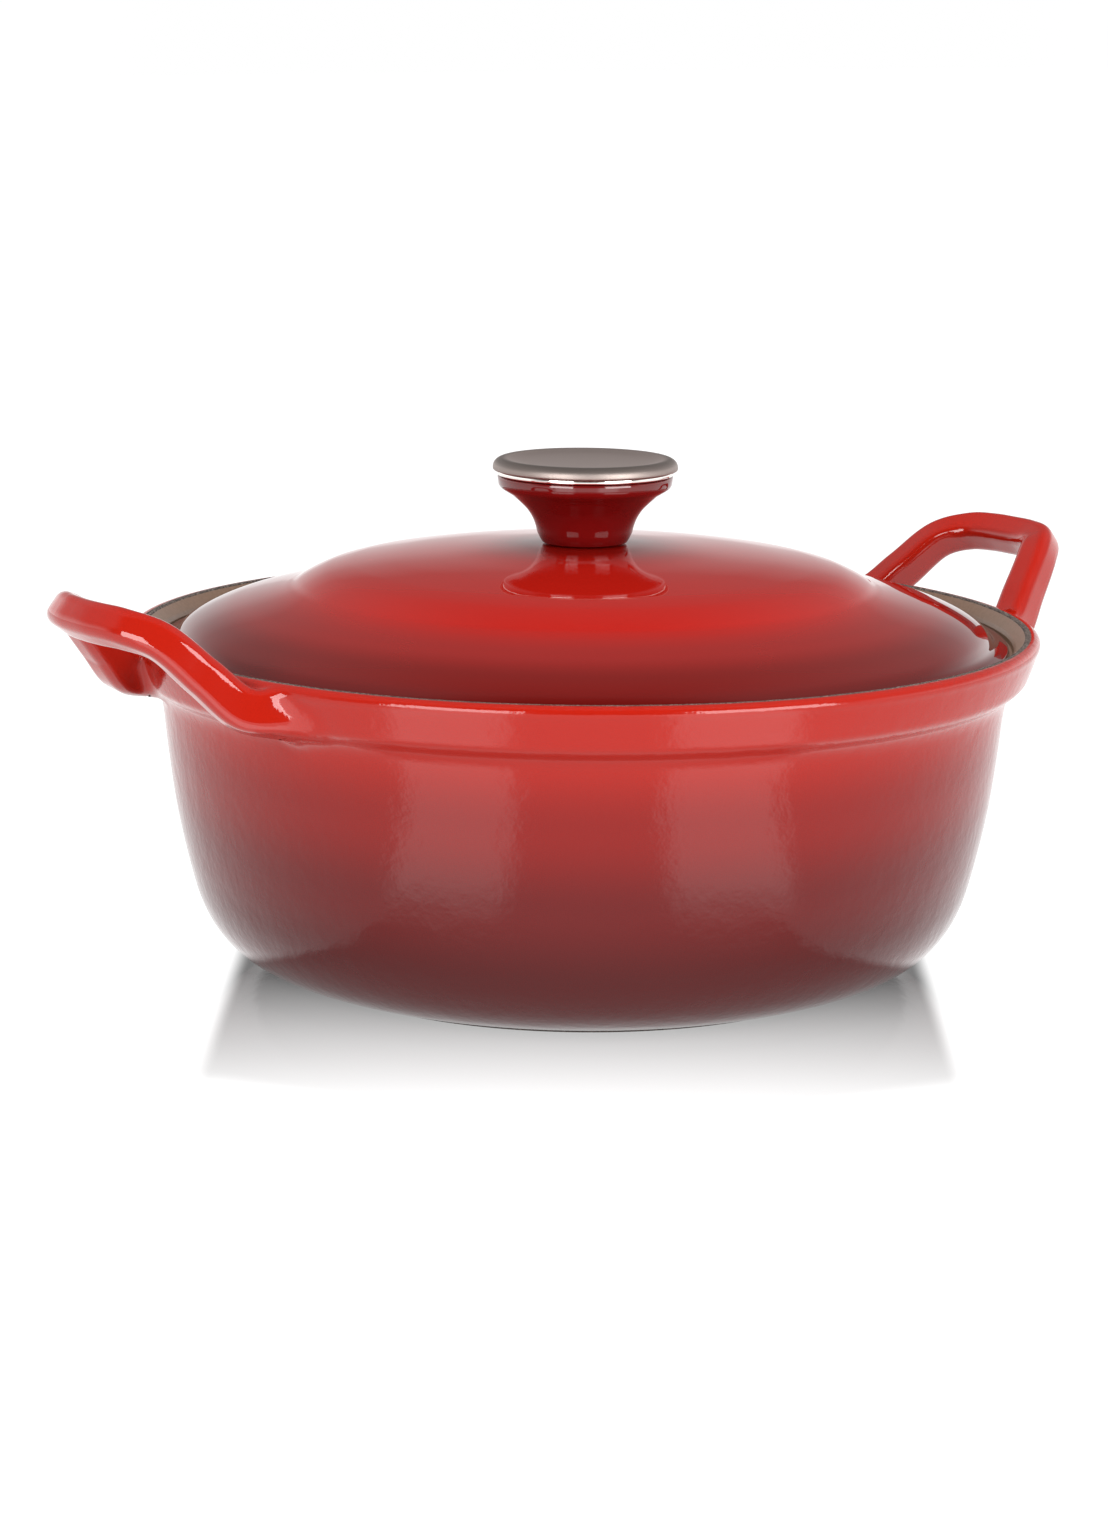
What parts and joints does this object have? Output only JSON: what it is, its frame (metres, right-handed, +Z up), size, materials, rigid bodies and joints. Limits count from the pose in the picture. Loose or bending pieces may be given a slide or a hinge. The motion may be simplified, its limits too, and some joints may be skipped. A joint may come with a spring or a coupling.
{
  "type": "dutch oven",
  "caption": "Round enamelled cast iron dutch oven with two upswept loop handles and a lift-off domed lid with a steel-capped knob.",
  "frame": {"origin": "on the pot's axis, at the middle of the flat face it stands on", "axes": "+Z up through the knob, +X along the line of the two handles, +Y across it"},
  "size_m": [0.3538, 0.28, 0.1582],
  "materials": {
    "enamel": "glossy vitreous enamel, orange red shading to dark red",
    "knob_moulding": "glossy dark red phenolic",
    "satin_steel": "satin stainless",
    "polished_steel": "polished stainless",
    "insert_brass": "turned brass",
    "fastener_steel": "zinc plated steel"
  },
  "bodies": {
    "pot": {"pot_body": "enamel"},
    "lid": {"lid": "enamel", "knob_body": "knob_moulding", "knob_ring": "polished_steel", "knob_cap": "satin_steel", "knob_insert": "insert_brass", "knob_screw": "fastener_steel", "knob_lock_washer": "fastener_steel", "knob_washer": "fastener_steel"}
  },
  "joints": [
    {"name": "lid_lift", "type": "slide", "parent": "pot", "child": "lid", "axis": [0, 0, 1], "range_m": [0, 0.15]}
  ]
}
